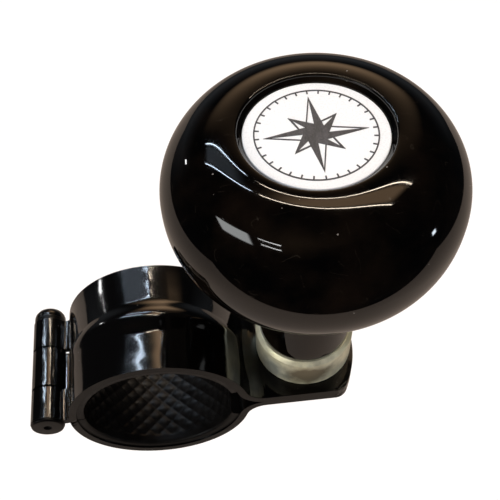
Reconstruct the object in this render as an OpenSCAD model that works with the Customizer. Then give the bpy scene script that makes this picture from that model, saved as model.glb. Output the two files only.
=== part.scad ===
// Steering wheel spinner knob: a ball-shaped grip that turns on two ball bearings
// round a plated post, on a hinged two-part clamp that closes round the wheel's rim.
// Millimetres. The origin is the middle of the clamp's bore, +Y runs along the rim,
// +Z is up along the grip's axis and z = 0 is the plane where the two clamp halves meet.

/* [Grip] */
// Diameter of the grip at its widest
knob_d = 52; // [46:1:60]
// Height of the widest circle above the clamp's ear
knob_mid_h = 51.9; // [48:0.1:60]
// Height of the upper curve's full crown above the widest circle
knob_upper_h = 18.2; // [17:0.1:20]
// Squareness of the upper curve, where 2 is an ellipse
knob_upper_power = 2.04; // [1.9:0.02:2.2]
// Radius inside which the crown rolls down towards the emblem
crown_r = 21.2; // [20:0.2:22.4]
// Drop of the rolled crown at the lip of the emblem's recess
crown_drop = 2.43; // [1.8:0.01:2.8]
// How late that roll sets in, where 2 is a parabola
crown_power = 1.5; // [1.4:0.1:2]
// Depth of the lower curve's full bowl under the widest circle
knob_lower_h = 19.3; // [17:0.1:23]
// Squareness of the lower curve
knob_lower_power = 2.3; // [2:0.05:2.6]
// Diameter of the neck under the grip
neck_d = 19; // [18.6:0.2:20.4]
// Radius where the neck runs into the grip
neck_fillet = 1.5; // [0.8:0.1:2.5]
// Bevel round the foot of the neck
neck_bevel = 0.4; // [0.2:0.1:0.8]
// Gap between the neck and the plated collar
neck_gap = 0.5; // [0.3:0.1:0.9]
// Rounding of the lip round the emblem's recess
lip_r = 0.4; // [0.3:0.1:0.8]
// How much wider the recess is at its lip than at its floor, on each side
recess_flare = 0.6; // [0.4:0.1:1.2]

/* [Emblem] */
// Diameter of the emblem disc
emblem_d = 23.4; // [20:0.2:25]
// Thickness of the emblem disc
emblem_t = 1.2; // [0.8:0.1:1.6]
// Depth of the emblem's face under the lip of the recess
emblem_sunk = 1; // [0.8:0.1:1.6]
// Bevel round the emblem's face
emblem_bevel = 0.25; // [0.1:0.05:0.4]
// Thickness of the printed design
ink_t = 0.08; // [0.05:0.01:0.15]
// Radius of the design's ring
ink_ring_r = 9.9; // [8:0.1:9.9]
// Width of the design's lines
ink_line = 0.24; // [0.16:0.02:0.4]
// Length of the star's four long points
star_long = 8.4; // [6:0.1:8.6]
// Length of the star's four short points
star_short = 5.6; // [4:0.1:6.5]
// Radius of the corners between the star's points
star_waist = 2.1; // [1.4:0.1:2.8]
// Number of marks round the ring
tick_count = 32; // [16:4:48]
// Length of each mark
tick_l = 0.9; // [0.5:0.1:1.2]

/* [Post] */
// Diameter of the plated collar
collar_d = 20.6; // [19.6:0.2:20.8]
// Height of the plated collar
collar_h = 8.3; // [7:0.1:10]
// Bevel round the top of the collar
collar_bevel = 0.8; // [0.4:0.1:1]
// Bevel round the foot of the collar
collar_foot_bevel = 0.4; // [0.2:0.1:0.6]
// Height of the shoulder that carries the lower bearing
shoulder_h = 1; // [0.8:0.1:1.5]
// Diameter of the spigot that is riveted into the upper ear
spigot_d = 12; // [10:0.5:14]

/* [Bearings] */
// Bore of each ball bearing
bearing_bore = 8; // [7:0.5:8]
// Outer diameter of each ball bearing
bearing_d = 16; // [15.6:0.1:16.4]
// Width of each ball bearing
bearing_w = 5; // [4.6:0.2:6]
// Diameter of the balls
ball_d = 2.38; // [2:0.02:2.5]
// Number of balls in each bearing
ball_count = 9; // [7:1:10]
// Width of the gap between the two rings
ring_gap = 1.6; // [1.4:0.1:1.8]
// Thickness of the ball cage
cage_t = 0.7; // [0.5:0.1:0.9]
// Width of the ball cage
cage_w = 3.6; // [3.2:0.1:4]

/* [Retainer] */
// Thread diameter of the screw that holds the grip on the post
retainer_d = 4; // [3:0.5:4.5]
// Length of that screw's shank
retainer_l = 12; // [8:1:16]
// Diameter of that screw's head
retainer_head_d = 8; // [7:0.5:9]
// Height of that screw's head
retainer_head_h = 2.6; // [2:0.1:3]
// Thickness of the washer under that screw
retainer_washer_t = 1; // [0.6:0.1:1.4]
// Space between that screw's head and the emblem
retainer_headroom = 1.2; // [0.6:0.1:2]

/* [Clamp] */
// Thickness of the coated steel sheet
sheet_t = 1.6; // [1.4:0.1:2]
// Width of the clamp along the rim
clamp_w = 25; // [22:1:30]
// Radius of the bend between the band and the ear
ear_bend_r = 4.5; // [3.5:0.1:4.6]
// Distance from the middle of the bore to the grip's axis
post_x = 32.5; // [32.4:0.1:36]
// Radius of the arc that ends the ears
ear_end_r = 22.7; // [19:0.1:26]
// Reach of the ears past the grip's axis
ear_reach = 10.7; // [10.4:0.1:14]
// Rounding of the ears' corners
ear_corner_r = 3; // [1.5:0.1:4]
// Height of the bead pressed into the middle of the band
bead_h = 0.9; // [0.5:0.1:1.2]
// Width of that bead
bead_w = 8.5; // [6:0.5:12]
// Gap between the edges of the two halves beside the hinge
parting_gap = 0.3; // [0.2:0.1:0.6]

/* [Hinge] */
// Diameter of the hinge pin
pin_d = 4; // [3:0.1:4.6]
// Distance between the knuckles and the band
hinge_clear = 1.15; // [0.8:0.05:1.8]
// Radius of the valley between the band and a knuckle
valley_r = 1; // [0.8:0.05:1.3]
// Length of the middle knuckle
mid_knuckle_w = 9.3; // [7:0.1:12]
// Gap between neighbouring knuckles
knuckle_gap = 0.5; // [0.4:0.1:1]
// Diameter of the pin's two heads
pin_head_d = 7; // [5.8:0.1:7.2]
// Height of the pin's far head
pin_head_h = 3.6; // [1.2:0.1:4]
// Height of the pin's near, riveted head
pin_rivet_h = 0.7; // [0.4:0.1:1.2]

/* [Liner] */
// Clear bore of the closed clamp, which is the thickest rim it takes
bore_d = 32; // [28:0.5:36]
// Thickness of the rubber liner
liner_t = 1.7; // [1:0.1:3]
// Step from the clamp's edge to the liner's
liner_inset = 0.4; // [0.2:0.1:1]
// Angle above the parting plane where the liner starts, on the ear side
liner_start = 17; // [16:1:30]

/* [Clamp screw] */
// Thread diameter of the screw that closes the clamp
screw_d = 6; // [5:0.5:6.5]
// Depth of the screw thread's grooves
screw_thread = 0.5; // [0.45:0.01:0.6]
// Length of the screw's shank
screw_l = 12; // [10:0.5:12]
// Diameter of the screw's head
screw_head_d = 10; // [9:0.5:11]
// Height of the screw's head
screw_head_h = 6; // [4:0.5:7]
// Width of the head's hexagon socket across its flats
socket_af = 5; // [4:0.5:6]
// Depth of the head's socket
socket_depth = 3; // [2:0.5:4]
// Diameter of the screw's hole in the lower ear
screw_hole_d = 6.6; // [6.6:0.1:7.6]
// Outer diameter of the flat washer
washer_d = 12; // [11:0.5:14]
// Thickness of the flat washer
washer_t = 1.6; // [1:0.1:2]
// Outer diameter of the spring washer
spring_washer_d = 10; // [9.5:0.5:12]
// Thickness of the spring washer
spring_washer_t = 1.6; // [1.2:0.1:2]

/* [Fits] */
// Radial clearance of a turning shaft or pin
running_fit = 0.05; // [0.03:0.01:0.08]
// Radial clearance of a part that is seated or screwed in
seat_fit = 0.02; // [0.01:0.01:0.04]
// Radial clearance round the emblem disc
emblem_fit = 0.2; // [0.1:0.05:0.3]
// Clearance between a ball and its tracks
ball_fit = 0.03; // [0.02:0.01:0.05]
// Radial clearance round the retaining washer's and screws' shanks
hole_clear = 0.3; // [0.2:0.05:0.5]

/* [Hidden] */
$fn = 96;
eps = 0.01;
far = 200;

// clamp section
bore_r = bore_d / 2;
band_ri = bore_r + liner_t;
band_ro = band_ri + sheet_t;
ear_top = sheet_t;
bend_z = sheet_t + ear_bend_r;
bend_x = sqrt(pow(band_ro + ear_bend_r, 2) - pow(bend_z, 2));
bend_angle = atan2(bend_z, bend_x);
knuckle_ri = pin_d / 2 + running_fit;
knuckle_ro = knuckle_ri + sheet_t;
pin_x = -(band_ro + hinge_clear + knuckle_ro);
valley_x = -(pow(band_ro + valley_r, 2) - pow(knuckle_ro + valley_r, 2) + pow(pin_x, 2)) / (2 * -pin_x);
valley_z = sqrt(pow(band_ro + valley_r, 2) - pow(valley_x, 2));
roll_start = atan2(valley_z, valley_x - pin_x);
roll_end = 348;
end_knuckle_w = clamp_w / 2 - mid_knuckle_w / 2 - knuckle_gap;
end_knuckle_y = clamp_w / 2 - end_knuckle_w / 2;
ear_end_x = post_x + ear_reach;
ear_arc_x = ear_end_x - ear_end_r;
corner_y = clamp_w / 2 - ear_corner_r;
corner_x = ear_arc_x + sqrt(pow(ear_end_r - ear_corner_r, 2) - pow(corner_y, 2));
bead_sink = bead_h * 4 / 3;
bead_steps = 14;

// heights along the post
collar_top = ear_top + collar_h;
neck_z = collar_top + neck_gap;
lower_bearing_z = collar_top + shoulder_h;
mid_z = ear_top + knob_mid_h;
knob_r = knob_d / 2;
neck_r = neck_d / 2;
floor_r = emblem_d / 2 + emblem_fit;
rim_r = floor_r + recess_flare;
lip_top = mid_z + upper_curve(rim_r + lip_r);
emblem_face = lip_top - emblem_sunk;
floor_z = emblem_face - emblem_t;
upper_bearing_z = floor_z - retainer_headroom - retainer_head_h - retainer_washer_t - bearing_w;
washer_z = upper_bearing_z + bearing_w;
post_top = washer_z - hole_clear;

// bearing section
pitch_r = (bearing_bore + bearing_d) / 4;
inner_ring_r = pitch_r - ring_gap / 2;
outer_ring_r = pitch_r + ring_gap / 2;
track_r = ball_d / 2 + ball_fit;
seat_r = bearing_d / 2 + seat_fit;
shoulder_r = outer_ring_r - 0.3;
post_r = bearing_bore / 2 - seat_fit;

// clamp screw
screw_core_r = screw_d / 2 - screw_thread;
screw_hole_r = screw_d / 2 + running_fit;
washer_top = -sheet_t;
spring_top = washer_top - washer_t;
head_top = spring_top - spring_washer_t;
screw_tip = head_top + screw_l;
screw_bore_depth = screw_tip + 1;
screw_point = 0.8;
rivet_pit_d = pin_d * 0.45;
slot_w = 1.2;
slot_depth = 1.3;

// rise of the upper curve above the widest circle, and fall of the lower one under it, at radius r
function upper_curve(r) = knob_upper_h * pow(1 - pow(r / knob_r, knob_upper_power), 1 / knob_upper_power)
    - crown_drop * pow(max(0, crown_r - r) / (crown_r - rim_r - lip_r), crown_power);
function lower_curve(r) = knob_lower_h * pow(1 - pow(r / knob_r, knob_lower_power), 1 / knob_lower_power);
// radius of a curve at turn a from its crown, even steps of which crowd where it bends most
function curve_r(a, power) = knob_r * pow(sin(a), 2 / power);
function polar(r, a) = [r * cos(a), r * sin(a)];

// a pie slice from angle a0 to a1, under 180 degrees apart
module wedge(a0, a1) {
    polygon([[0, 0], polar(far, a0), polar(far * 1.5, (a0 + a1) / 2), polar(far, a1)]);
}

// the sheet's section along a bend of inner radius r
module bend_2d(x, z, r, a0, a1) {
    translate([x, z]) intersection() {
        difference() {
            circle(r + sheet_t);
            circle(r);
        }
        wedge(a0, a1);
    }
}

// stands a section drawn in x and z upright, w long and centred on y
module along_rim(w, y = 0) {
    translate([0, y, 0]) rotate([90, 0, 0]) linear_extrude(w, center = true) children();
}

// the band and the bend into the ear
module band_2d() {
    intersection() {
        difference() {
            circle(band_ro);
            circle(band_ri);
        }
        polygon([[0, 0], polar(far, bend_angle), [far, far], [-far, far],
                 [-far, parting_gap / 2], [0, parting_gap / 2]]);
    }
    bend_2d(bend_x, bend_z, ear_bend_r, 180 + bend_angle, 270);
}

// the strip that leaves the band, dips into the valley and rolls round the pin
module knuckle_2d() {
    bend_2d(valley_x, valley_z, valley_r, 180 + roll_start, 360 + atan2(-valley_z, -valley_x));
    translate([pin_x, 0]) for (part = [0, 1])
        bend_part(roll_start + part * (roll_end - roll_start) / 2,
                  roll_start + (part + 1) * (roll_end - roll_start) / 2);
}

module bend_part(a0, a1) {
    intersection() {
        difference() {
            circle(knuckle_ro);
            circle(knuckle_ri);
        }
        wedge(a0, a1);
    }
}

// plan of the ear: straight sides, an arc at the end and rounded corners
module ear_plan() {
    difference() {
        intersection() {
            translate([bend_x, -clamp_w / 2]) square([far, clamp_w]);
            translate([ear_arc_x, 0]) circle(ear_end_r);
        }
        for (side = [-1, 1]) scale([1, side]) ear_corner_cut();
    }
}

module ear_corner_cut() {
    lean = atan2(corner_y, corner_x - ear_arc_x);
    difference() {
        translate([corner_x, corner_y]) wedge(lean, 90);
        translate([corner_x, corner_y]) circle(ear_corner_r);
    }
}

// a drum whose radius swells by the bead's height at the middle of the band
module bead_drum(r) {
    translate([0, 0, bead_sink]) rotate([90, 0, 0]) rotate_extrude() polygon(concat(
        [[0, -bead_w / 2]],
        [for (i = [0 : bead_steps]) let (y = bead_w * (i / bead_steps - 0.5))
            [r - bead_sink + bead_h * (1 + cos(360 * y / bead_w)) / 2, y]],
        [[0, bead_w / 2]]));
}

module bead_span() {
    fade = asin(1 - bead_h / bead_sink);
    translate([-far / 2, -far / 2, 0.8 * band_ro * sin(fade)]) cube(far);
}

// one pressed half of the clamp, with its ear's hole of radius hole_r
module clamp_half(knuckles, hole_r) {
    difference() {
        union() {
            along_rim(clamp_w) band_2d();
            linear_extrude(sheet_t) ear_plan();
            for (k = knuckles) along_rim(k[1], k[0]) knuckle_2d();
            difference() {
                intersection() {
                    bead_drum(band_ro);
                    bead_span();
                }
                rotate([90, 0, 0]) cylinder(r = band_ri + sheet_t / 2, h = far, center = true);
            }
        }
        intersection() {
            bead_drum(band_ri);
            bead_span();
        }
        translate([post_x, 0, -eps]) cylinder(r = hole_r, h = sheet_t + 2 * eps);
    }
}

module upper_clamp_half() {
    color([0.09, 0.08, 0.08])
        clamp_half([[-end_knuckle_y, end_knuckle_w], [end_knuckle_y, end_knuckle_w]], spigot_d / 2 + seat_fit);
}

module lower_clamp_half() {
    color([0.09, 0.08, 0.08]) mirror([0, 0, 1]) clamp_half([[0, mid_knuckle_w]], screw_hole_d / 2);
}

module liner() {
    along_rim(clamp_w - 2 * liner_inset) intersection() {
        difference() {
            circle(band_ri - seat_fit);
            circle(bore_r);
        }
        polygon([[0, 0], polar(far, liner_start), [far, far], [-far, far],
                 [-far, parting_gap / 2], [0, parting_gap / 2]]);
    }
}

module upper_liner() {
    color([0.16, 0.15, 0.15]) liner();
}

module lower_liner() {
    color([0.16, 0.15, 0.15]) mirror([0, 0, 1]) liner();
}

// outline of a rivet head of height h that stands on radius axis y = 0
module rivet_head_2d(h) {
    edge = h * 0.6;
    intersection() {
        square([pin_head_d / 2, h]);
        union() {
            square([pin_head_d / 2 - edge, h]);
            square([pin_head_d / 2, h - edge]);
            translate([pin_head_d / 2 - edge, h - edge]) circle(edge, $fn = 48);
        }
    }
}

module hinge_pin() {
    near = -clamp_w / 2;
    color([0.1, 0.09, 0.09]) translate([pin_x, 0, 0]) rotate([-90, 0, 0]) difference() {
        rotate_extrude() {
            translate([0, near]) square([pin_d / 2, clamp_w]);
            translate([0, -near]) rivet_head_2d(pin_head_h);
            translate([0, near]) mirror([0, 1]) rivet_head_2d(pin_rivet_h);
        }
        translate([0, 0, near - pin_rivet_h]) sphere(d = rivet_pit_d, $fn = 48);
    }
}

module spindle_post() {
    bore_bottom = screw_bore_depth;
    color([0.78, 0.77, 0.68]) translate([post_x, 0, 0]) difference() {
        rotate_extrude() polygon([
            [0, 0], [spigot_d / 2, 0], [spigot_d / 2, ear_top],
            [collar_d / 2 - collar_foot_bevel, ear_top], [collar_d / 2, ear_top + collar_foot_bevel],
            [collar_d / 2, collar_top - collar_bevel], [collar_d / 2 - collar_bevel, collar_top],
            [inner_ring_r, collar_top], [inner_ring_r, lower_bearing_z],
            [post_r, lower_bearing_z], [post_r, post_top - 0.5], [post_r - 0.5, post_top], [0, post_top]]);
        translate([0, 0, -eps]) cylinder(r = screw_hole_r, h = bore_bottom + eps);
        translate([0, 0, post_top - retainer_l - 1]) cylinder(r = retainer_d / 2 + seat_fit, h = retainer_l + 2);
    }
}

// ring with a ball track round radius pitch_r, between radii r0 and r1
module track_ring(r0, r1) {
    bevel = 0.3;
    rotate_extrude() difference() {
        polygon([[r0, bevel], [r0 + bevel, 0], [r1 - bevel, 0], [r1, bevel],
                 [r1, bearing_w - bevel], [r1 - bevel, bearing_w], [r0 + bevel, bearing_w], [r0, bearing_w - bevel]]);
        translate([pitch_r, bearing_w / 2]) circle(track_r);
    }
}

module inner_ring(z) {
    color([0.72, 0.73, 0.75]) translate([post_x, 0, z]) track_ring(bearing_bore / 2, inner_ring_r);
}

module outer_ring(z) {
    color([0.68, 0.69, 0.71]) translate([post_x, 0, z]) track_ring(outer_ring_r, bearing_d / 2);
}

module balls(z) {
    color([0.85, 0.86, 0.88]) translate([post_x, 0, z + bearing_w / 2]) for (i = [0 : ball_count - 1])
        rotate([0, 0, 360 * i / ball_count]) translate([pitch_r, 0, 0]) sphere(d = ball_d, $fn = 48);
}

module cage(z) {
    color([0.75, 0.6, 0.3]) translate([post_x, 0, z + bearing_w / 2]) difference() {
        cylinder(r = pitch_r + cage_t / 2, h = cage_w, center = true);
        cylinder(r = pitch_r - cage_t / 2, h = cage_w + 1, center = true);
        for (i = [0 : ball_count - 1]) rotate([0, 90, 360 * i / ball_count])
            translate([0, 0, pitch_r]) cylinder(d = ball_d + 0.12, h = 3 * cage_t, center = true, $fn = 48);
    }
}

module lower_inner_ring() { inner_ring(lower_bearing_z); }
module upper_inner_ring() { inner_ring(upper_bearing_z); }
module lower_outer_ring() { outer_ring(lower_bearing_z); }
module upper_outer_ring() { outer_ring(upper_bearing_z); }
module lower_balls() { balls(lower_bearing_z); }
module upper_balls() { balls(upper_bearing_z); }
module lower_cage() { cage(lower_bearing_z); }
module upper_cage() { cage(upper_bearing_z); }

module bearing_spacer() {
    z0 = lower_bearing_z + bearing_w;
    color([0.7, 0.7, 0.7]) translate([post_x, 0, z0]) difference() {
        cylinder(r = inner_ring_r, h = upper_bearing_z - z0);
        translate([0, 0, -1]) cylinder(r = bearing_bore / 2 + running_fit, h = upper_bearing_z - z0 + 2);
    }
}

module retaining_washer() {
    color([0.75, 0.75, 0.72]) translate([post_x, 0, washer_z]) difference() {
        cylinder(r = inner_ring_r, h = retainer_washer_t);
        translate([0, 0, -1]) cylinder(r = retainer_d / 2 + hole_clear, h = retainer_washer_t + 2);
    }
}

module retaining_screw() {
    z0 = washer_z + retainer_washer_t;
    dome = retainer_head_h * 0.4;
    color([0.75, 0.75, 0.72]) translate([post_x, 0, z0]) difference() {
        rotate_extrude() polygon([
            [0, -retainer_l], [retainer_d / 2 - 0.5, -retainer_l], [retainer_d / 2, 0.5 - retainer_l],
            [retainer_d / 2, 0], [retainer_head_d / 2, 0], [retainer_head_d / 2, retainer_head_h - dome],
            [retainer_head_d / 2 - dome, retainer_head_h], [0, retainer_head_h]]);
        for (a = [0, 90]) rotate([0, 0, a]) translate([-retainer_head_d / 4, -slot_w / 2, retainer_head_h - slot_depth])
            cube([retainer_head_d / 2, slot_w, slot_depth + 1]);
    }
}

// the grip's section, from the foot of the neck up round the outside and back down the bore
module grip_2d() {
    steps = 28;
    neck_turn = asin(pow((neck_r + neck_fillet) / knob_r, knob_lower_power / 2));
    lip_turn = asin(pow((rim_r + lip_r) / knob_r, knob_upper_power / 2));
    fillet_z = mid_z - lower_curve(neck_r + neck_fillet);
    polygon(concat(
        [[seat_r, neck_z], [neck_r - neck_bevel, neck_z], [neck_r, neck_z + neck_bevel]],
        [for (i = [0 : 5]) let (a = 15 * i)
            [neck_r + neck_fillet * (1 - cos(a)), fillet_z - neck_fillet * (1 - sin(a))]],
        [for (i = [1 : steps]) let (r = curve_r(neck_turn + i / steps * (90 - neck_turn), knob_lower_power))
            [r, mid_z - lower_curve(min(r, knob_r))]],
        [for (i = [steps - 1 : -1 : 0]) let (r = curve_r(lip_turn + i / steps * (90 - lip_turn), knob_upper_power))
            [r, mid_z + upper_curve(min(r, knob_r))]],
        [for (i = [1 : 5]) let (a = 18 * i)
            [rim_r + lip_r * (1 - sin(a)), lip_top - lip_r * (1 - cos(a))]],
        [[floor_r, emblem_face], [floor_r, floor_z], [seat_r, floor_z],
         [seat_r, upper_bearing_z], [shoulder_r, upper_bearing_z],
         [shoulder_r, lower_bearing_z + bearing_w], [seat_r, lower_bearing_z + bearing_w]]));
}

module grip_ball() {
    color([0.06, 0.045, 0.04]) translate([post_x, 0, 0]) rotate_extrude($fn = 128) grip_2d();
}

module emblem_disc() {
    color([0.96, 0.96, 0.95]) translate([post_x, 0, floor_z]) rotate_extrude() polygon([
        [0, 0], [emblem_d / 2, 0], [emblem_d / 2, emblem_t - emblem_bevel],
        [emblem_d / 2 - emblem_bevel, emblem_t], [0, emblem_t]]);
}

// one point of the star: its right half is solid and its left half is an outline
module star_point(l) {
    corner = polar(star_waist, 45);
    tip = [0, l];
    polygon([[0, 0], tip, corner]);
    polygon([[-corner[0], corner[1]], tip, [0, l - 4 * ink_line], [ink_line - corner[0], corner[1]]]);
}

module emblem_print() {
    color([0.19, 0.19, 0.21]) translate([post_x, 0, emblem_face]) linear_extrude(ink_t) {
        for (a = [45 : 90 : 359]) rotate(a) star_point(star_short);
        for (a = [0 : 90 : 359]) rotate(a) star_point(star_long);
        difference() {
            circle(ink_ring_r);
            circle(ink_ring_r - ink_line);
        }
        for (i = [0 : tick_count - 1]) rotate(360 * i / tick_count)
            translate([ink_ring_r - tick_l, -ink_line / 2]) square([tick_l - ink_line / 2, ink_line]);
    }
}

module clamp_screw() {
    bevel = 0.6;
    color([0.2, 0.2, 0.21]) translate([post_x, 0, head_top]) difference() {
        rotate_extrude() polygon([
            [0, -screw_head_h], [screw_head_d / 2 - bevel, -screw_head_h],
            [screw_head_d / 2, bevel - screw_head_h], [screw_head_d / 2, 0],
            [screw_core_r, 0], [screw_core_r, screw_l - screw_point],
            [screw_core_r - screw_point, screw_l], [0, screw_l]]);
        translate([0, 0, -screw_head_h - eps])
            cylinder(d = socket_af / cos(30), h = socket_depth + eps, $fn = 6);
    }
}

module flat_washer() {
    color([0.7, 0.7, 0.68]) translate([post_x, 0, spring_top]) difference() {
        cylinder(d = washer_d, h = washer_t);
        translate([0, 0, -1]) cylinder(r = screw_d / 2 + hole_clear, h = washer_t + 2);
    }
}

module spring_washer() {
    color([0.6, 0.6, 0.6]) translate([post_x, 0, head_top]) difference() {
        cylinder(d = spring_washer_d, h = spring_washer_t);
        translate([0, 0, -1]) cylinder(r = screw_d / 2 + hole_clear / 2, h = spring_washer_t + 2);
        rotate([25, 0, 0]) translate([0, -0.4, -far / 2]) cube([far, 0.8, far]);
    }
}

upper_clamp_half();
upper_liner();
hinge_pin();
spindle_post();
lower_inner_ring();
upper_inner_ring();
bearing_spacer();
retaining_washer();
retaining_screw();
grip_ball();
lower_outer_ring();
upper_outer_ring();
emblem_disc();
emblem_print();
lower_balls();
lower_cage();
upper_balls();
upper_cage();
lower_clamp_half();
lower_liner();
clamp_screw();
flat_washer();
spring_washer();
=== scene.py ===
import math

import bmesh
import bpy
import numpy as np
from mathutils import Matrix, Vector


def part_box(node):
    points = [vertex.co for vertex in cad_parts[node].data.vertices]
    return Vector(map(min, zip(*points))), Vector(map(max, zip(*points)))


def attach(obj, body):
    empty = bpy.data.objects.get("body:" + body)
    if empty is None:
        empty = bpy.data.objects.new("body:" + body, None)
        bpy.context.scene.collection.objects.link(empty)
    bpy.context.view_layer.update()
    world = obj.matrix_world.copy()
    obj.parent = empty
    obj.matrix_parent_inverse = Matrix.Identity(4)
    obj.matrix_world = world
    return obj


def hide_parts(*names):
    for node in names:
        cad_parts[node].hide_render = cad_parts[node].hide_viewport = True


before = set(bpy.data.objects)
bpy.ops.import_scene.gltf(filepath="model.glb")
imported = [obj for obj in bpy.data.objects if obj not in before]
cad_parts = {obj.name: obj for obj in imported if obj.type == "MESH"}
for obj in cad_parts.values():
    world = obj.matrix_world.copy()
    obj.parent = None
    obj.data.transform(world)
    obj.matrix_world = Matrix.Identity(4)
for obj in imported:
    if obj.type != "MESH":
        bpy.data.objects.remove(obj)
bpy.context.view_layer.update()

# Lengths are written in millimetres, which mm turns into metres, and angles in degrees.
mm = 0.001

# The camera looks steeply down on the crown from in front of the clamp, turned a little
# about its own line of sight, so that the clamp lies to the left and the ear points right.
camera_place = (13.1, -91.9, 159.9)
camera_pitch = 54.84
camera_roll = -6.12
camera_lens = 59.5
camera_sensor = 36.0
camera_shift = (0.085, 0.060)

camera_data = bpy.data.cameras.new("camera")
camera_data.lens = camera_lens
camera_data.sensor_width = camera_sensor
camera_data.shift_x, camera_data.shift_y = camera_shift
camera_data.clip_start = 0.005
camera = bpy.data.objects.new("camera", camera_data)
camera.matrix_world = (Matrix.Translation(Vector(camera_place) * mm)
                       @ Matrix.Rotation(math.radians(90 - camera_pitch), 4, "X")
                       @ Matrix.Rotation(math.radians(camera_roll), 4, "Z"))
bpy.context.scene.collection.objects.link(camera)
bpy.context.scene.camera = camera
bpy.context.scene.view_settings.view_transform = "Standard"


# The knob is shown well above a sheet of pale card, so that the lower clamp half can swing down.
# The card is lit like everything else, and what it lacks to white is added only for the eye
# and, more weakly, for mirror images.
card_low = (-340, -118)
card_high = (400, 700)
card_z = -75
card_colour = (0.18, 0.145, 0.12)
card_glow_seen = 0.88
card_glow_mirrored = 0.15
card_glow_tint = (1.0, 0.83, 0.7)
card_roughness, card_shine = 0.9, 0.1


def link_or_set(material, socket, value):
    """Links value to the socket where value is another node's output, and sets it otherwise."""
    if isinstance(value, bpy.types.NodeSocket):
        material.node_tree.links.new(value, socket)
    else:
        socket.default_value = value


def fill_inputs(material, node, **sockets):
    """Links or sets inputs of a node, given by their names with _ for each space."""
    for name, value in sockets.items():
        link_or_set(material, node.inputs[name.replace("_", " ")], value)


def add_node(material, kind, choices=(), **sockets):
    """Adds one shader node; choices are its (name, value) options and sockets its inputs by name."""
    node = material.node_tree.nodes.new("ShaderNode" + kind)
    for name, value in choices:
        setattr(node, name, value)
    fill_inputs(material, node, **sockets)
    return node


def calculate(material, operation, first, second=0.0):
    """Output of a Math node that works on one or two numbers or sockets."""
    node = material.node_tree.nodes.new("ShaderNodeMath")
    node.operation = operation
    link_or_set(material, node.inputs[0], first)
    link_or_set(material, node.inputs[1], second)
    return node.outputs[0]


def card_material():
    """Pale matt card: a diffuse colour plus a glow that only the camera and mirror rays meet."""
    material = bpy.data.materials.new("pale_card")
    material.use_nodes = True
    shader = material.node_tree.nodes["Principled BSDF"]
    fill_inputs(material, shader, Base_Color=(*card_colour, 1), Roughness=card_roughness,
                Specular_IOR_Level=card_shine)
    path = add_node(material, "LightPath").outputs
    mirrored = calculate(material, "ADD", path["Is Glossy Ray"], path["Is Transmission Ray"])
    seen = calculate(material, "MULTIPLY", path["Is Camera Ray"], card_glow_seen)
    glow = calculate(material, "ADD", seen, calculate(material, "MULTIPLY", mirrored, card_glow_mirrored))
    tint = add_node(material, "Mix", [("data_type", "RGBA")], Factor=mirrored)
    tint.inputs[6].default_value = (1, 1, 1, 1)
    tint.inputs[7].default_value = (*card_glow_tint, 1)
    fill_inputs(material, shader, Emission_Color=tint.outputs[2], Emission_Strength=glow)
    return material


card_mesh = bpy.data.meshes.new("card")
card_corners = (card_low, (card_high[0], card_low[1]), card_high, (card_low[0], card_high[1]))
card_mesh.from_pydata([(x * mm, y * mm, card_z * mm) for x, y in card_corners], [], [(0, 1, 2, 3)])
card_mesh.materials.append(card_material())
card = bpy.data.objects.new("card", card_mesh)
bpy.context.scene.collection.objects.link(card)

# A dim room round the card: white where the camera looks past the card, dark in mirror images
# but for a haze along the horizon behind, and a soft even light on matt surfaces.
room_light = 0.36
room_mirrored = 0.012
horizon_haze = 0.1
horizon_reach = 0.35
behind_from, behind_to = 0.5, 0.95
room_colour = (0.9, 0.97, 1.06)

world = bpy.data.worlds.new("room")
bpy.context.scene.world = world
world.use_nodes = True
room_path = add_node(world, "LightPath").outputs
room_direction = add_node(world, "SeparateXYZ", Vector=add_node(world, "TexCoord").outputs["Generated"])
slope = calculate(world, "ABSOLUTE", room_direction.outputs[2])
haze = add_node(world, "MapRange", Value=slope, From_Min=0.0, From_Max=horizon_reach,
                To_Min=horizon_haze, To_Max=0.0)
behind = add_node(world, "MapRange", Value=room_direction.outputs[1], From_Min=behind_from,
                  From_Max=behind_to)
haze_behind = calculate(world, "MULTIPLY", haze.outputs[0], behind.outputs[0])
haze_mirrored = calculate(world, "MULTIPLY", haze_behind, room_path["Is Glossy Ray"])
room_dim = calculate(world, "ADD", room_mirrored, haze_mirrored)
room_lit = calculate(world, "MULTIPLY", room_path["Is Diffuse Ray"], room_light)
room_unseen = calculate(world, "ADD", room_dim, room_lit)
room_level = calculate(world, "ADD", room_path["Is Camera Ray"], room_unseen)
room_background = world.node_tree.nodes["Background"]
room_tint = add_node(world, "Mix", [("data_type", "RGBA")], Factor=room_path["Is Camera Ray"])
room_tint.inputs[6].default_value = (*room_colour, 1)
room_tint.inputs[7].default_value = (1, 1, 1, 1)
fill_inputs(world, room_background, Color=room_tint.outputs[2], Strength=room_level)

# The lamps hang in one plane high over the knob: a long box behind it, cool to the left and warm
# to the right, with a bright tube along each long side, and a small box with two short tubes in
# front. Dim warm panels stand for the room's lit ceiling. Nearer by, two small lamps give a spark
# each, and two wide ones that no mirror image shows fill in the shadows.
lamp_height = 2000
lamp_run = Vector((0.8683, -0.4960, 0))
lamp_side = Vector((0.4960, 0.8683, 0))
lamp_origin = Vector((32.5, 0, 60))
tube_width, tube_glow = 44, 35
front_tube_width, front_tube_glow = 88, 14
cool = (0.78, 0.93, 1.12)
warm = (1.15, 0.98, 0.78)
ember = (1.3, 0.85, 0.5)
white = (1, 1, 1)


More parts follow.
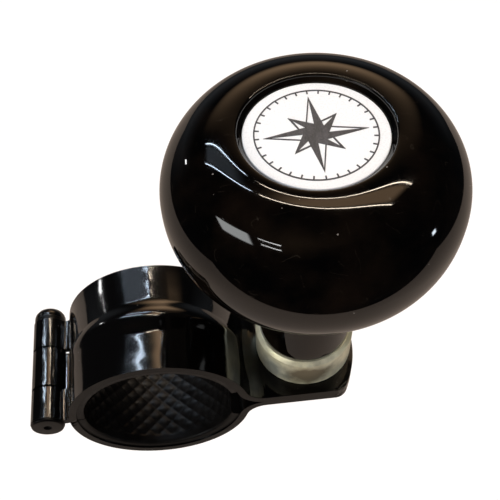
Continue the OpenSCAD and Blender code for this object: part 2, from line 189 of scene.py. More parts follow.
def fade_edges(data, share):
    """Dims a lamp towards its four edges: along each of its two directions the strength is a smooth step
    of the distance from the nearest edge, in lamp widths, over share, and the two are multiplied."""
    data.use_nodes = True
    across = add_node(data, "SeparateXYZ", Vector=add_node(data, "NewGeometry").outputs["Parametric"])
    levels = []
    for place in across.outputs[:2]:
        from_middle = calculate(data, "ABSOLUTE", calculate(data, "SUBTRACT", place, 0.5))
        inward = calculate(data, "SUBTRACT", 0.5, from_middle)
        step = add_node(data, "MapRange", [("interpolation_type", "SMOOTHSTEP")], Value=inward,
                        From_Min=0.0, From_Max=share)
        levels.append(step.outputs[0])
    fill_inputs(data, data.node_tree.nodes["Emission"], Strength=calculate(data, "MULTIPLY", *levels))


def lamp(name, middle, run, size, colour, radiance, faces, soft=0.0, mirrored=True):
    """Rectangular lamp of the given size in mm, its first side along run, facing the direction faces. The
    power is four times the radiance times the area; a soft lamp fades over that share from each edge."""
    data = bpy.data.lights.new(name, "AREA")
    data.shape = "RECTANGLE"
    data.size, data.size_y = size[0] * mm, size[1] * mm
    data.color = colour
    data.energy = radiance * 4 * data.size * data.size_y
    if soft:
        fade_edges(data, soft)
    lamp_object = bpy.data.objects.new(name, data)
    lamp_object.visible_camera = False
    lamp_object.visible_glossy = mirrored
    back = -Vector(faces).normalized()
    side = back.cross(Vector(run)).normalized()
    along = side.cross(back)
    lamp_object.matrix_world = Matrix.Translation(Vector(middle) * mm) @ Matrix(
        ((along.x, side.x, back.x), (along.y, side.y, back.y), (along.z, side.z, back.z))).to_4x4()
    bpy.context.scene.collection.objects.link(lamp_object)


def ceiling_lamp(name, run_limits, side_limits, colour, radiance, soft=0.0):
    """Lamp in the ceiling plane; its limits are multiples of the ceiling's height over the knob."""
    run_from, run_to = run_limits
    side_from, side_to = side_limits
    middle = (lamp_origin + Vector((0, 0, lamp_height)) + lamp_height * (
        lamp_run * (run_from + run_to) / 2 + lamp_side * (side_from + side_to) / 2))
    size = (lamp_height * (run_to - run_from), lamp_height * (side_to - side_from))
    lamp(name, middle, lamp_run, size, colour, radiance, (0, 0, -1), soft)


def ceiling_tube(name, run_limits, side, width, colour, radiance):
    """Thin bright tube in the ceiling plane."""
    half = width / lamp_height / 2
    ceiling_lamp(name, run_limits, (side - half, side + half), colour, radiance)


box_sides = (0.345, 0.672)
cool_run = (-1.2, -0.405)
warm_run = (-0.354, 0.53)
cool_end_run = (-1.22, -0.95)
ceiling_lamp("cool_box", cool_run, box_sides, cool, radiance=0.34, soft=0.2)
ceiling_lamp("cool_box_end", cool_end_run, box_sides, cool, radiance=1.8, soft=0.45)
ceiling_lamp("warm_box", warm_run, box_sides, ember, radiance=1.05, soft=0.22)
for side in box_sides:
    ceiling_tube(f"cool_tube_{side}", cool_run, side, tube_width, cool, tube_glow)
    ceiling_tube(f"warm_tube_{side}", warm_run, side, tube_width, warm, tube_glow)
ceiling_lamp("front_box", (-2.04, -0.75), (-1.97, -1.32), (0.97, 1.0, 1.0), radiance=4.6, soft=0.08)
ceiling_tube("front_tube_near", (-0.55, -0.08), -1.41, front_tube_width, white, front_tube_glow)
ceiling_tube("front_tube_far", (-0.51, -0.05), -1.67, front_tube_width, white, front_tube_glow)
ceiling_lamp("lit_ceiling_behind", (-1.7, 0.35), (0.7, 3.2), ember, radiance=1.15, soft=0.5)
ceiling_lamp("lit_ceiling_in_front", (-0.9, 1.1), (-2.2, 0.1), ember, radiance=0.07, soft=0.5)
near_lamp_distance = 600


def near_lamp(name, direction, size, colour, radiance, soft=0.0, mirrored=True):
    """Lamp that lies in one direction from the knob, level along its first side, and faces it."""
    toward = Vector(direction).normalized()
    level = toward.cross(Vector((0, 0, 1)))
    middle = lamp_origin + near_lamp_distance * toward
    lamp(name, middle, level, size, colour, radiance, -toward, soft, mirrored)


near_lamp("left_spark", (-0.778, 0.607, 0.162), (30, 30), white, radiance=14)
near_lamp("right_spark", (0.954, -0.295, -0.04), (46, 46), (0.8, 0.9, 1), radiance=14, soft=0.3)
near_lamp("shadow_filler", (0.0, -0.5, 0.87), (500, 500), (0.85, 0.95, 1.2), radiance=0.45, mirrored=False)
near_lamp("collar_filler", (-0.4, -0.85, 0.14), (500, 200), (1, 1, 0.99), radiance=8, mirrored=False)


# The grip: one black, glossy plastic moulding, a squashed ball on a straight neck. Its crown
# rolls down to a shallow round recess, and a stepped bore takes the two bearings from each end.
post_x = 32.5
post_foot = (post_x, 0, 0)
smooth_crease, rounding_points = 32, 7
grip_r = 25.99
grip_mid_z = 53.5
upper_h, upper_power = 18.1998, 2.04
lower_h, lower_power = 19.3, 2.3
crown_r, crown_drop, crown_power = 21.2, 2.43, 1.5
neck_r, neck_z, neck_bevel, neck_fillet = 9.5, 10.4, 0.4, 1.5
seat_r, shoulder_r = 8.02, 6.5
lower_bearing_z, bearing_w = 10.9, 5.0
lip_r, recess_flare = 0.4, 0.6
emblem_r, emblem_gap, emblem_t, emblem_sunk = 11.7, 0.2, 1.2, 1.0
recess_floor_r = emblem_r + emblem_gap
lip_line_r = recess_floor_r + recess_flare + lip_r
headroom, retainer_stack = 1.2, 3.6
grip_black, grip_brown = (0.0003, 0.0002, 0.0002), (0.0052, 0.003, 0.0018)
scratch_colour, dust_colour = (0.03, 0.024, 0.018), (0.16, 0.14, 0.12)


def upper_curve(r):
    """Height over the widest circle: a superellipse, less a drop that grows inwards from crown_r by a
    power law."""
    full = upper_h * (1 - np.minimum(r / grip_r, 1) ** upper_power) ** (1 / upper_power)
    return full - crown_drop * (np.maximum(crown_r - r, 0) / (crown_r - lip_line_r)) ** crown_power


def lower_curve(r):
    """Depth under the widest circle: a superellipse."""
    return lower_h * (1 - np.minimum(r / grip_r, 1) ** lower_power) ** (1 / lower_power)


def curve_radii(first_r, power, steps):
    """Radii from first_r out to the widest circle, by even turns of the superellipse's angle, so that they
    crowd where the curve bends."""
    first_turn = np.arcsin((first_r / grip_r) ** (power / 2))
    return grip_r * np.sin(np.linspace(first_turn, np.pi / 2, steps)) ** (2 / power)


def arc(centre, radius, start, end, steps):
    """Points on a circle about centre from angle start to end, in degrees, as (radius, height) rows."""
    turn = np.radians(np.linspace(start, end, steps))
    return np.stack([centre[0] + radius * np.cos(turn), centre[1] + radius * np.sin(turn)], 1)


def rounded(corners):
    """Outline through the corners (radius, height, rounding), each rounding drawn as an arc that touches
    both sides."""
    out = []
    for k, (x, z, rounding) in enumerate(corners):
        here = np.array([x, z])
        if rounding == 0:
            out.append(here[None])
            continue
        before = np.array(corners[k - 1][:2]) - here
        after = np.array(corners[(k + 1) % len(corners)][:2]) - here
        before, after = before / np.linalg.norm(before), after / np.linalg.norm(after)
        half = np.arccos(np.clip(before @ after, -1, 1)) / 2
        middle = here + (before + after) / np.linalg.norm(before + after) * rounding / np.sin(half)
        first = here + before * rounding / np.tan(half) - middle
        last = here + after * rounding / np.tan(half) - middle
        share = np.linspace(0, 1, rounding_points)[:, None]
        spokes = first * (1 - share) + last * share
        out.append(middle + rounding * spokes / np.linalg.norm(spokes, axis=1)[:, None])
    return np.concatenate(out)


def refine(outline, step):
    """Adds even points to the long straight sides of an outline so that none is longer than step."""
    out = []
    for start, end in zip(outline[:-1], outline[1:]):
        count = max(1, math.ceil(np.linalg.norm(end - start) / step))
        out.append(start + (end - start) * (np.arange(count) / count)[:, None])
    return np.concatenate(out + [outline[-1:]])


def piece_from(name, points, faces, body, slot, replaced, material, crease=smooth_crease):
    """Makes a finished piece from points in mm: smooth shaded, with edges sharper than crease kept sharp."""
    mesh = bpy.data.meshes.new(name)
    mesh.from_pydata((np.asarray(points) * mm).tolist(), [], faces)
    mesh.validate()
    mesh.polygons.foreach_set("use_smooth", np.ones(len(mesh.polygons), bool))
    mesh.set_sharp_from_angle(angle=math.radians(crease))
    mesh.materials.append(material)
    piece = bpy.data.objects.new(name, mesh)
    bpy.context.scene.collection.objects.link(piece)
    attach(piece, body)
    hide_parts(*replaced)


def band_faces(rows, columns, close_rows=False):
    """Quads of a grid of rows by columns whose numbering runs along the columns first. The last column is
    joined to the first, and with close_rows the last row too."""
    i, j = np.meshgrid(np.arange(rows if close_rows else rows - 1), np.arange(columns), indexing="ij")
    i, j = i.ravel(), j.ravel()
    next_i, next_j = (i + 1) % rows, (j + 1) % columns
    return np.stack([i * columns + j, i * columns + next_j,
                     next_i * columns + next_j, next_i * columns + j], 1)


def turned(radii, heights, hollow):
    """Points and faces of an outline carried round the axis x = 0, y = 0: x = radius times cosine of the
    turn, y = radius times its sine. radii and heights have one row per outline point and one column per
    turn step.
    A hollow outline is a closed loop; a solid one starts and ends on the axis, where its first and last row
    become single points."""
    turns = radii.shape[1]
    angle = np.arange(turns) * 2 * np.pi / turns
    points = np.stack([radii * np.cos(angle), radii * np.sin(angle), heights], -1)
    if hollow:
        return points.reshape(-1, 3), band_faces(len(radii), turns, close_rows=True).tolist()
    inner = points[1:-1]
    rows = len(inner)
    flat = np.concatenate([inner.reshape(-1, 3), points[0, :1], points[-1, :1]])
    first_pole, last_pole = rows * turns, rows * turns + 1
    step = np.arange(turns)
    following = (step + 1) % turns
    top = (rows - 1) * turns
    fans = np.concatenate([np.stack([np.full(turns, first_pole), following, step], 1),
                           np.stack([np.full(turns, last_pole), top + step, top + following], 1)])
    return flat, band_faces(rows, turns).tolist() + fans.tolist()


def lathe(outline, turns, hollow, place=post_foot, lying=False):
    """Round piece from an outline of (radius, height) points; lying turns its axis from +Z to +Y."""
    radii = np.repeat(outline[:, :1], turns, 1)
    heights = np.repeat(outline[:, 1:], turns, 1)
    points, faces = turned(radii, heights, hollow)
    if lying:
        points = points[:, [0, 2, 1]] * np.array([-1, 1, 1])
    return points + np.array(place), faces


def principled(name, colour, roughness, metallic=0.0):
    """New material with its Principled shader's plain values set; returns both."""
    material = bpy.data.materials.new(name)
    material.use_nodes = True
    shader = material.node_tree.nodes["Principled BSDF"]
    shader.inputs["Base Color"].default_value = (*colour, 1)
    shader.inputs["Roughness"].default_value = roughness
    shader.inputs["Metallic"].default_value = metallic
    return material, shader


def place_on_piece(material, centre, scale=(1, 1, 1)):
    """Object coordinates moved to a centre in mm and stretched by scale."""
    where = add_node(material, "TexCoord").outputs["Object"]
    moved = add_node(material, "Mapping", [("vector_type", "POINT")], Vector=where)
    moved.inputs["Location"].default_value = [-c * mm * s for c, s in zip(centre, scale)]
    moved.inputs["Scale"].default_value = scale
    return moved.outputs[0]


def noise(material, vector, per_mm, detail=2.0, roughness=0.5):
    """Noise with the given number of lumps per millimetre."""
    return add_node(material, "TexNoise", Vector=vector, Scale=per_mm / mm, Detail=detail,
                    Roughness=roughness).outputs["Fac"]


def remap(material, value, low, high, to_low, to_high):
    """Carries value from low..high to to_low..to_high along a straight line, held at both ends."""
    return add_node(material, "MapRange", Value=value, From_Min=low, From_Max=high,
                    To_Min=to_low, To_Max=to_high).outputs[0]


def mix_colours(material, factor, first, second):
    """Blend of two colours by a factor."""
    node = add_node(material, "Mix", [("data_type", "RGBA")])
    link_or_set(material, node.inputs[0], factor)
    for socket, value in ((node.inputs[6], first), (node.inputs[7], second)):
        link_or_set(material, socket, value if isinstance(value, bpy.types.NodeSocket) else (*value, 1))
    return node.outputs[2]


def bump(material, height, depth_mm, under=None):
    """Bump from a height of 0 to 1 that stands for depth_mm, over another bump if one is given."""
    node = add_node(material, "Bump", Height=height, Distance=depth_mm * mm)
    if under is not None:
        fill_inputs(material, node, Normal=under)
    return node.outputs[0]


def specks(material, vector, per_mm, size):
    """Small round grains: 1 near a random cell's centre, fading to 0 at size millimetres, in about a quarter
    of the cells."""
    cell = add_node(material, "TexVoronoi", Vector=vector, Scale=per_mm / mm)
    near = remap(material, cell.outputs["Distance"], size * per_mm * 0.6, size * per_mm, 1.0, 0.0)
    pick = add_node(material, "SeparateColor", Color=cell.outputs["Color"]).outputs[0]
    return calculate(material, "MULTIPLY", near, calculate(material, "GREATER_THAN", pick, 0.75))


def hairlines(material, vector, per_mm, share):
    """Fine scratches: thin level lines of a stretched noise, kept only where a second noise is high."""
    field = noise(material, vector, per_mm, detail=0.0)
    off_line = calculate(material, "ABSOLUTE", calculate(material, "SUBTRACT", field, 0.5))
    line = remap(material, off_line, 0.0, 0.004, 1.0, 0.0)
    kept = calculate(material, "GREATER_THAN", noise(material, vector, per_mm * 2.3, detail=0.0), 1 - share)
    return calculate(material, "MULTIPLY", line, kept)


def grip_outline():
    """Section of the grip as a closed loop of (radius, height), anticlockwise from the foot of its neck."""
    fillet_z = grip_mid_z - float(lower_curve(np.array(neck_r + neck_fillet)))
    low_r = curve_radii(neck_r + neck_fillet, lower_power, steps=90)
    high_r = curve_radii(lip_line_r, upper_power, steps=110)[::-1]
    lip_top = grip_mid_z + float(upper_curve(np.array(lip_line_r)))
    emblem_face = lip_top - emblem_sunk
    floor_z = emblem_face - emblem_t
    upper_bearing_z = floor_z - headroom - retainer_stack - bearing_w
    neck = refine(np.array([[neck_r, neck_z + neck_bevel], [neck_r, fillet_z - neck_fillet]]), step=2.0)
    return np.concatenate([
        [[seat_r, neck_z]],
        arc((neck_r - neck_bevel, neck_z + neck_bevel), neck_bevel, -90, 0, steps=7)[:-1],
        neck[:-1],
        arc((neck_r + neck_fillet, fillet_z - neck_fillet), neck_fillet, 180, 90, steps=12)[:-1],
        np.stack([low_r, grip_mid_z - lower_curve(low_r)], 1),
        np.stack([high_r[1:], grip_mid_z + upper_curve(high_r[1:])], 1),
        arc((lip_line_r, lip_top - lip_r), lip_r, 90, 180, steps=8)[1:],
        [[recess_floor_r, emblem_face], [recess_floor_r, floor_z], [seat_r, floor_z],
         [seat_r, upper_bearing_z], [shoulder_r, upper_bearing_z],
         [shoulder_r, lower_bearing_z + bearing_w], [seat_r, lower_bearing_z + bearing_w]],
    ]), emblem_face, floor_z


def grip_material():
    """Black gloss plastic that clouds to brown in places, with faint swirl scratches, grains of dust and a
    slightly uneven polish."""
    material, shader = principled("grip_gloss", (0.002, 0.0013, 0.001), 0.06)
    shader.inputs["IOR"].default_value = 1.5
    where = place_on_piece(material, (post_x, 0, grip_mid_z))
    stretched = place_on_piece(material, (post_x, 0, grip_mid_z), (1.0, 0.35, 0.8))
    cross = place_on_piece(material, (post_x, 0, grip_mid_z), (0.3, 1.0, 0.9))
    scratch = calculate(material, "MAXIMUM", hairlines(material, stretched, per_mm=0.36, share=0.36),
                        hairlines(material, cross, per_mm=0.3, share=0.36))
    dust = specks(material, where, per_mm=0.42, size=0.16)
    haze = noise(material, where, 0.13, detail=6.0, roughness=0.55)
    polish = remap(material, haze, 0.35, 0.7, 0.03, 0.06)
    dusted = calculate(material, "ADD", polish, calculate(material, "MULTIPLY", dust, 0.4))
    body = mix_colours(material, remap(material, haze, 0.4, 0.8, 0, 1), grip_black, grip_brown)
    worn = mix_colours(material, calculate(material, "MULTIPLY", scratch, 0.35), body, scratch_colour)
    waves = bump(material, noise(material, where, 0.06, detail=1.0), 0.02)
    scored = bump(material, calculate(material, "SUBTRACT", 1.0, scratch), 0.0012, waves)
    fill_inputs(material, shader, Base_Color=mix_colours(material, dust, worn, dust_colour),
                Roughness=dusted, Normal=bump(material, dust, 0.02, scored))
    return material


grip_section, emblem_face_z, recess_floor_z = grip_outline()
piece_from("gloss_grip", *lathe(grip_section, turns=224, hollow=True), "grip", "grip_plastic",
           ["grip_ball"], grip_material())


# The emblem: a white plastic disc with a softened edge, set in the recess, and a compass star
# printed on it in dark ink inside a thin ring with marks.
disc_edge = 0.25
disc_greyer, disc_whiter = (0.9, 0.9, 0.9), (0.95, 0.95, 0.94)
ink_full, ink_thin = (0.022, 0.022, 0.026), (0.07, 0.07, 0.078)


def emblem_material():
    """White lacquered plastic, very slightly mottled, with a satin gloss."""
    material, shader = principled("emblem_white", (0.92, 0.92, 0.92), 0.28)
    where = place_on_piece(material, (post_x, 0, emblem_face_z))
    mottle = noise(material, where, 0.35, detail=5.0)
    fill_inputs(material, shader, Base_Color=mix_colours(material, mottle, disc_greyer, disc_whiter),
                Roughness=remap(material, noise(material, where, 3.0), 0.3, 0.7, 0.22, 0.36),
                Normal=bump(material, noise(material, where, 2.0, detail=3.0), 0.004))
    return material


def ink_material():
    """Dark printing ink, a little thin in places, so that its grey wanders."""
    material, shader = principled("emblem_ink", (0.03, 0.03, 0.035), 0.42)
    where = place_on_piece(material, (post_x, 0, emblem_face_z))
    streaks = place_on_piece(material, (post_x, 0, emblem_face_z), (1.0, 0.18, 1.0))
    cover = calculate(material, "MULTIPLY", noise(material, streaks, 1.1, detail=4.0),
                      noise(material, where, 5.0, detail=2.0))
    thinned = remap(material, cover, 0.15, 0.42, 0, 1)
    fill_inputs(material, shader, Base_Color=mix_colours(material, thinned, ink_full, ink_thin),
                Normal=bump(material, cover, 0.003))
    return material


def dress(nodes, material):
    """Gives CAD nodes their finish by filling their material slots."""
    for name in nodes:
        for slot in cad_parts[name].material_slots:
            slot.material = material


emblem_outline = rounded([(0, recess_floor_z, 0), (emblem_r, recess_floor_z, 0.1),
                          (emblem_r, emblem_face_z, disc_edge), (0, emblem_face_z, 0)])
piece_from("white_disc", *lathe(emblem_outline, turns=192, hollow=False), "grip", "emblem_white",
           ["emblem_disc"], emblem_material())
dress(["emblem_print"], ink_material())


# The clamp: two halves pressed from 1.6 mm steel sheet, each with a bead round its middle, an
# ear, and hinge knuckles rolled from its edge. Both are dipped in gloss black, which rounds edges.
sheet_edge, sheet_edge_steps, sheet_edge_angle = 0.3, 3, 40
same_point = 0.002
cut_from, cut_to, cut_fade_in, cut_fade_out = 12.32, 13.3, 0.13, 0.3
ear_from, ear_fade, ear_reflection_shade = 20.5, 2.0, 0.85
coat_black, coat_dust = (0.0012, 0.001, 0.001), (0.06, 0.055, 0.05)
full_shine, shaded_shine = white, (0.12, 0.12, 0.12)


def coat_material():
    """Thick gloss black coating: deep black, a little wavy, with fine dust. On the cut edges, from cut_from
    to cut_to off the middle, it is rougher, and there and on the ears, beyond ear_from, a painted shade in
    the specular tint dims its mirror images."""
    material, shader = principled("black_coat", coat_black, 0.2)
    shader.inputs["IOR"].default_value = 1.75
    where = place_on_piece(material, (0, 0, 0))
    parts = add_node(material, "SeparateXYZ", Vector=where).outputs
    side = calculate(material, "ABSOLUTE", parts[1])
    cut = calculate(material, "MULTIPLY",
                    remap(material, side, cut_from * mm, (cut_from + cut_fade_in) * mm, 0, 1),
                    remap(material, side, cut_to * mm, (cut_to + cut_fade_out) * mm, 1, 0))
    on_ear = remap(material, parts[0], ear_from * mm, (ear_from + ear_fade) * mm, 0, ear_reflection_shade)
    # Painted shade: the cut edges and the ears mirror less, so that their reflections come out dark.
    reflection_shade = calculate(material, "MAXIMUM", cut, on_ear)
    patch = noise(material, where, 0.09, detail=3.0)
    dust = specks(material, where, per_mm=0.6, size=0.1)
    polish = remap(material, patch, 0.35, 0.65, 0.08, 0.11)
    dusted = calculate(material, "ADD", polish, calculate(material, "MULTIPLY", dust, 0.3))
    sag = bump(material, noise(material, where, 0.16, detail=1.0), 0.12)
    fill_inputs(material, shader, Base_Color=mix_colours(material, dust, coat_black, coat_dust),
                Roughness=calculate(material, "ADD", dusted, calculate(material, "MULTIPLY", cut, 0.25)),
                Specular_Tint=mix_colours(material, reflection_shade, full_shine, shaded_shine),
                Normal=bump(material, noise(material, where, 2.6, detail=1.0), 0.0035, sag))
    return material


def coated_copy(node, name, body, material, edge):
    """Copy of a clamp half's solid with its loose triangles merged, smooth faces and its sharp edges softly
    rounded to a width of edge."""
    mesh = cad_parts[node].data.copy()
    mesh.name = name
    half = bpy.data.objects.new(name, mesh)
    bpy.context.scene.collection.objects.link(half)
    merged = bmesh.new()
    merged.from_mesh(mesh)
    bmesh.ops.remove_doubles(merged, verts=merged.verts, dist=same_point * mm)
    merged.to_mesh(mesh)
    merged.free()
    mesh.polygons.foreach_set("use_smooth", np.ones(len(mesh.polygons), bool))
    mesh.set_sharp_from_angle(angle=math.radians(smooth_crease))
    mesh.materials.clear()
    mesh.materials.append(material)
    softened = half.modifiers.new("softened edges", "BEVEL")
    softened.width = edge * mm
    softened.segments = sheet_edge_steps
    softened.limit_method = "ANGLE"
    softened.angle_limit = math.radians(sheet_edge_angle)
    softened.harden_normals = True
    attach(half, body)
    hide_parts(node)


black_coat = coat_material()
coated_copy("upper_clamp_half", "coated_upper_half", "fixed_clamp", black_coat,
            sheet_edge)
coated_copy("lower_clamp_half", "coated_lower_half", "swinging_clamp", black_coat,
            sheet_edge)


# The liners: strips of black rubber bonded into the bore, quilted with small diamonds apart
# from a smooth border along each side.
bore_r, liner_back_r, liner_half_w = 16.0, 17.68, 12.1
liner_from, liner_to = 17.0, 179.5
quilt_pitch, quilt_depth, quilt_border, quilt_fade = 3.4, 0.32, 1.9, 0.5
liner_chamfer, liner_crease = 0.35, 60
points_round, points_across = 220, 104
rubber_dark, rubber_pale = (0.0014, 0.0012, 0.0011), (0.005, 0.0042, 0.0038)


def quilted_strip(flip):
    """Liner as rows round the bore of closed loops across it: the bore side, pushed back by up to
    quilt_depth along two crossing sets of slanting grooves, and the plain back. The push is one less the
    square root of the product of two sines, of the sum and the difference of the places along and across
    the strip. Each end row is closed by a strip of quads; flip turns the strip over for the lower half."""
    angle = np.radians(np.linspace(liner_from, liner_to, points_round))[:, None]
    y = np.linspace(-liner_half_w, liner_half_w, points_across)[None]
    along = bore_r * angle
    crossing = np.sin(np.pi * (along + y) / quilt_pitch) * np.sin(np.pi * (along - y) / quilt_pitch)
    pillow = np.sqrt(np.abs(crossing))
    inside = np.clip((liner_half_w - quilt_border - np.abs(y)) / quilt_fade, 0, 1)
    edge = np.maximum(np.abs(y) - liner_half_w + liner_chamfer, 0)
    face_r = bore_r + quilt_depth * (1 - pillow) * inside + edge
    back_r = np.full_like(face_r, liner_back_r)
    radius = np.concatenate([face_r[:, ::-1], back_r], 1)
    across = np.concatenate([y[:, ::-1], y], 1) + 0 * radius
    points = np.stack([radius * np.cos(angle), across, radius * np.sin(angle)], -1)
    rows, columns = radius.shape
    faces = band_faces(rows, columns)
    k = np.arange(columns // 2 - 1)
    cap = np.stack([k, k + 1, columns - 2 - k, columns - 1 - k], 1)
    faces = np.concatenate([faces, cap, (cap + (rows - 1) * columns)[:, ::-1]])
    flat = points.reshape(-1, 3)
    if flip:
        flat = flat * np.array([1, 1, -1])
        faces = faces[:, ::-1]
    return flat, faces.tolist()


def rubber_material():
    """Matt black rubber with a fine grain, paler in soft patches."""
    material, shader = principled("liner_rubber", (0.003, 0.0026, 0.0025), 0.5)
    shader.inputs["Specular IOR Level"].default_value = 0.2
    where = place_on_piece(material, (0, 0, 0))
    tone = noise(material, where, 0.4, detail=4.0)
    fill_inputs(material, shader, Base_Color=mix_colours(material, tone, rubber_dark, rubber_pale),
                Roughness=remap(material, tone, 0.3, 0.7, 0.3, 0.45),
                Normal=bump(material, noise(material, where, 7.0, detail=2.0), 0.008))
    return material


rubber = rubber_material()
piece_from("quilted_upper_liner", *quilted_strip(flip=False), "fixed_clamp", "liner_rubber",
           ["upper_liner"], rubber, liner_crease)
piece_from("quilted_lower_liner", *quilted_strip(flip=True), "swinging_clamp", "liner_rubber",
           ["lower_liner"], rubber, liner_crease)


# The hinge pin: a steel rivet through the three knuckles with a tall domed head at the far end
# and a low peened one with a pit at the near end, coated together with the clamp.
pin_x, pin_r, pin_half = -24.1, 2.0, 12.5
head_r, far_head_h, near_head_h, pit_r = 3.5, 3.6, 0.7, 0.9
head_rounding = 0.6


def pin_outline():
    """Section of the pin from its near end to its far one: pit, low head, shank, domed head. Each head's
    edge is an arc whose radius is head_rounding times the head's height."""
    near = -pin_half - near_head_h
    far = pin_half + far_head_h
    pit = arc((0, near), pit_r, 90, 12, steps=8)
    rest = rounded([(pit_r, near, 0), (head_r, near, head_rounding * near_head_h), (head_r, -pin_half, 0),
                    (pin_r, -pin_half, 0), (pin_r, pin_half, 0), (head_r, pin_half, 0),
                    (head_r, far, head_rounding * far_head_h), (0, far, 0)])
    return np.concatenate([pit, rest])


piece_from("coated_rivet", *lathe(pin_outline(), turns=96, hollow=False, place=(pin_x, 0, 0), lying=True),
           "fixed_clamp", "coated_pin", ["hinge_pin"], black_coat)


# The spindle: turned steel, zinc plated to a yellowish silver. Only its collar shows; above it
# the post carries the bearings, and its spigot is riveted into the upper ear.
collar_r, collar_z, collar_top, collar_chamfer = 10.3, 1.6, 9.9, 0.8
spigot_r, step_r, post_r = 6.0, 5.2, 3.98
screw_hole_r, screw_hole_z = 3.05, 8.2
retainer_hole_r, retainer_hole_z = 2.02, 48.36
plating_dull, plating_bright = (0.72, 0.66, 0.43), (0.98, 0.92, 0.68)
shade_brown, shade_grey = (0.13, 0.1, 0.06), (0.17, 0.19, 0.18)
shade_patch_ragged, shade_patch_full, shade_patch_gone = 1.2, 1.1, 2.1


def spindle_outline(post_top):
    """Section of the spindle as a solid outline with a blind hole from each end."""
    return rounded([
        (0, screw_hole_z, 0), (screw_hole_r, screw_hole_z, 0), (screw_hole_r, 0, 0), (spigot_r, 0, 0),
        (spigot_r, collar_z, 0), (collar_r, collar_z, 0.35), (collar_r, collar_top - collar_chamfer, 0.3),
        (collar_r - collar_chamfer, collar_top, 0.2), (step_r, collar_top, 0), (step_r, lower_bearing_z, 0),
        (post_r, lower_bearing_z, 0), (post_r, post_top, 0.4), (retainer_hole_r, post_top, 0),
        (retainer_hole_r, retainer_hole_z, 0), (0, retainer_hole_z, 0)])


def plating_material(name, colours, roughness, metallic=1.0):
    """Turned and plated steel: rings of fine tool marks round the axis, which are noise of the radius and
    the height alone, and soft patches of colour and polish."""
    material, shader = principled(name, colours[0], roughness, metallic)
    where = place_on_piece(material, post_foot)
    parts = add_node(material, "SeparateXYZ", Vector=where).outputs
    squares = [calculate(material, "POWER", part, 2.0) for part in parts[:2]]
    radius = calculate(material, "SQRT", calculate(material, "ADD", *squares))
    rings = add_node(material, "CombineXYZ", X=radius, Y=parts[2]).outputs[0]
    marks = noise(material, rings, 6.0, detail=3.0, roughness=0.7)
    patch = noise(material, where, 0.13, detail=3.0)
    polish = remap(material, patch, 0.3, 0.7, -0.05, 0.07)
    scored = remap(material, marks, 0.3, 0.7, roughness - 0.04, roughness + 0.05)
    soft = bump(material, noise(material, where, 0.5, detail=2.0), 0.01)
    fill_inputs(material, shader,
                Base_Color=mix_colours(material, remap(material, patch, 0.35, 0.65, 0, 1), *colours),
                Roughness=calculate(material, "ADD", polish, scored),
                Normal=bump(material, marks, 0.004, soft))
    return material


def add_painted_shade(material, place, narrowness, colour, strength):
    """Paints a dark patch of shade into the plating's colour, standing in for a dark reflection: an oval
    round a place, narrower along an axis with a higher narrowness; its strength falls off along a straight
    line with the distance from the place, made ragged by noise."""
    shader = material.node_tree.nodes["Principled BSDF"]
    plain = shader.inputs["Base Color"].links[0].from_socket
    from_place = place_on_piece(material, place, narrowness)
    apart = add_node(material, "VectorMath", [("operation", "LENGTH")], Vector=from_place).outputs["Value"]
    grain = noise(material, place_on_piece(material, post_foot), 0.4, detail=4.0)
    ragged = calculate(material, "ADD", apart, calculate(material, "MULTIPLY", grain, shade_patch_ragged * mm))
    shade = remap(material, ragged, shade_patch_full * mm, shade_patch_gone * mm, strength, 0)
    fill_inputs(material, shader, Base_Color=mix_colours(material, shade, plain, colour))


spindle_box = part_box("spindle_post")
zinc = plating_material("zinc_plating", (plating_dull, plating_bright), roughness=0.36, metallic=0.6)
# Painted shade: two dark patches on the front of the collar, brown in its middle and grey to its left, where
# it reflects the black ear.
add_painted_shade(zinc, (post_x - 0.5, -collar_r, 5.4), (0.17, 0.17, 0.26), shade_brown, 0.93)
add_painted_shade(zinc, (post_x - 7.7, -6.8, 4.0), (0.32, 0.32, 0.28), shade_grey, 0.75)
piece_from("plated_spindle", *lathe(spindle_outline(spindle_box[1].z / mm), turns=192, hollow=False),
           "fixed_clamp", "zinc_plating", ["spindle_post"], zinc)


# The bearings, their spacer and the retaining screw and washer: ground, polished and pressed
# metal, all shut inside the grip.
ground = plating_material("ground_steel", ((0.55, 0.55, 0.56), (0.62, 0.62, 0.63)), roughness=0.22)
polished = plating_material("polished_balls", ((0.75, 0.75, 0.77), (0.8, 0.8, 0.82)), roughness=0.1)
brass = plating_material("cage_brass", ((0.62, 0.42, 0.16), (0.7, 0.52, 0.24)), roughness=0.3)
dress(["lower_inner_ring", "upper_inner_ring", "lower_outer_ring", "upper_outer_ring", "bearing_spacer",
       "retaining_washer", "retaining_screw"], ground)
dress(["lower_balls", "upper_balls"], polished)
dress(["lower_cage", "upper_cage"], brass)


# The clamp screw: a black socket head cap screw with a knurled head, put in from below through
# a spring washer and a flat washer, which pulls the lower ear up against the upper one.
screw_core_r, screw_l, screw_point = 2.5, 12.0, 0.8
screw_head_r, screw_head_h, head_top_z = 5.0, 6.0, -4.8
head_round, head_round_in, head_round_up = 0.6, 0.17, 0.18
socket_half, socket_depth, socket_chamfer = 2.5, 3.0, 0.3
thread_pitch, thread_depth = 1.0, 0.32
thread_steps, thread_start, thread_fade = 12, 0.3, 1.0
knurl_count, knurl_depth, knurl_from, knurl_to, plain_rim = 48, 0.14, 0.9, 0.7, 0.4
oxide_dark, oxide_rubbed = (0.04, 0.04, 0.043), (0.13, 0.13, 0.13)


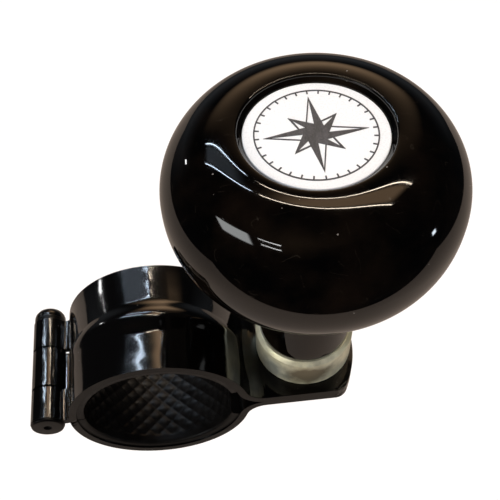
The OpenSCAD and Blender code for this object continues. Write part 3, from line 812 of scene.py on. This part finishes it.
def screw_surface(turns=192):
    """Rows from the floor of the socket out, down its six-sided wall, round the knurled head and up the
    thread. The wall's radius is half the width across flats over the cosine of the angle from the nearest
    flat's middle. The knurls are a cosine of the turn, cut inwards, and the thread is a zigzag of the height
    less the turn, cut inwards too and faded in at the head."""
    angle = np.arange(turns) * 2 * np.pi / turns
    level = np.zeros(turns)
    hexagon = socket_half / np.cos((angle + np.pi / 6) % (np.pi / 3) - np.pi / 6)
    knurled = screw_head_r - knurl_depth * (0.5 - 0.5 * np.cos(knurl_count * angle))
    head_bottom = head_top_z - screw_head_h
    floor = head_bottom + socket_depth
    rows = [(level, floor), (hexagon, floor), (hexagon, head_bottom + socket_chamfer),
            (hexagon + socket_chamfer, head_bottom), (level + screw_head_r - head_round, head_bottom),
            (level + screw_head_r - head_round_in, head_bottom + head_round_up),
            (level + screw_head_r, head_bottom + head_round), (knurled, head_bottom + knurl_from),
            (knurled, head_top_z - knurl_to), (level + screw_head_r, head_top_z - plain_rim),
            (level + screw_head_r, head_top_z), (level + screw_core_r, head_top_z)]
    first_z = head_top_z + thread_start
    for z in np.arange(first_z, head_top_z + screw_l - screw_point, thread_pitch / thread_steps):
        phase = (z / thread_pitch - angle / (2 * np.pi)) % 1
        faded = min(1.0, (z - first_z) / thread_fade)
        rows.append((screw_core_r - faded * thread_depth * np.abs(2 * phase - 1), z))
    tip = head_top_z + screw_l
    rows += [(level + screw_core_r - screw_point, tip), (level, tip)]
    radii = np.stack([radius for radius, z in rows])
    heights = np.array([[z] for radius, z in rows]) + 0 * radii
    points, faces = turned(radii, heights, hollow=False)
    return points + np.array(post_foot), faces


def oxide_material():
    """Black-oxide steel: dark, oily satin metal with lighter rubbed spots."""
    material, shader = principled("black_oxide", (0.05, 0.05, 0.053), 0.34, 0.85)
    where = place_on_piece(material, post_foot)
    rubbed = remap(material, noise(material, where, 0.7, detail=5.0), 0.55, 0.72, 0, 1)
    fill_inputs(material, shader, Base_Color=mix_colours(material, rubbed, oxide_dark, oxide_rubbed),
                Normal=bump(material, noise(material, where, 4.0), 0.005))
    return material


oxide = oxide_material()
piece_from("socket_head_screw", *screw_surface(), "swinging_clamp", "black_oxide", ["clamp_screw"], oxide,
           crease=40)
dress(["spring_washer"], oxide)

washer_hole_r, washer_r, washer_z, washer_t = 3.3, 6.0, -3.2, 1.6
washer_outline = rounded([(washer_hole_r, washer_z, 0), (washer_r, washer_z, 0.15),
                          (washer_r, washer_z + washer_t, 0.3), (washer_hole_r, washer_z + washer_t, 0)])
washer_zinc = plating_material("zinc_washer", ((0.56, 0.56, 0.54), (0.66, 0.66, 0.63)), roughness=0.28)
piece_from("flat_washer_face", *lathe(washer_outline, turns=96, hollow=True), "swinging_clamp",
           "zinc_washer", ["flat_washer"], washer_zinc)
